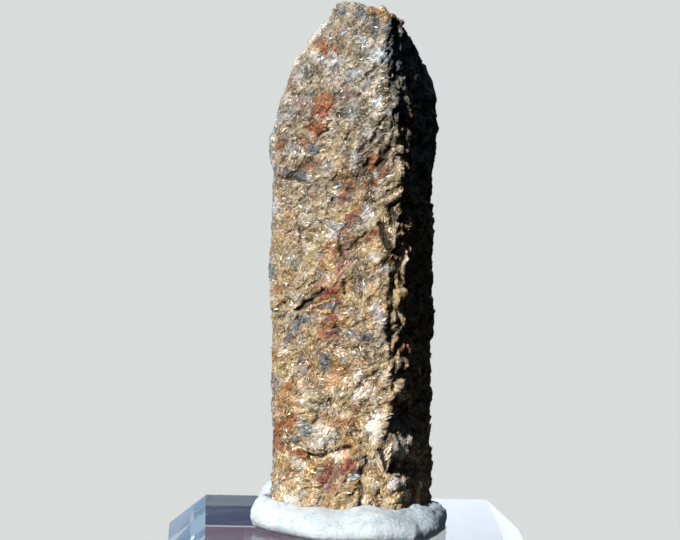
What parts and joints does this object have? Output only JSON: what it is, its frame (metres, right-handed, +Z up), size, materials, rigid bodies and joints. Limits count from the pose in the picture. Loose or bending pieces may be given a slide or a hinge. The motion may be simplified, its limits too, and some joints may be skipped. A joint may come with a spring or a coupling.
{
  "type": "chiastolite crystal on an acrylic block",
  "caption": "Rough mica-coated chiastolite prism with a slanting tip, stood in a pressed ring of white mineral tack on a bevelled clear acrylic display block.",
  "frame": {"origin": "centre of the acrylic block's underside", "axes": "+Z up along the crystal, -Y towards the front, where the crystal's lit face is"},
  "size_m": [0.0382, 0.0382, 0.0792],
  "materials": {
    "chiastolite": "matte",
    "mineral_tack": "matte",
    "clear_acrylic": "polished"
  },
  "bodies": {
    "root": {"crystal": "chiastolite", "mineral_tack": "mineral_tack", "acrylic_block": "clear_acrylic"}
  },
  "joints": []
}
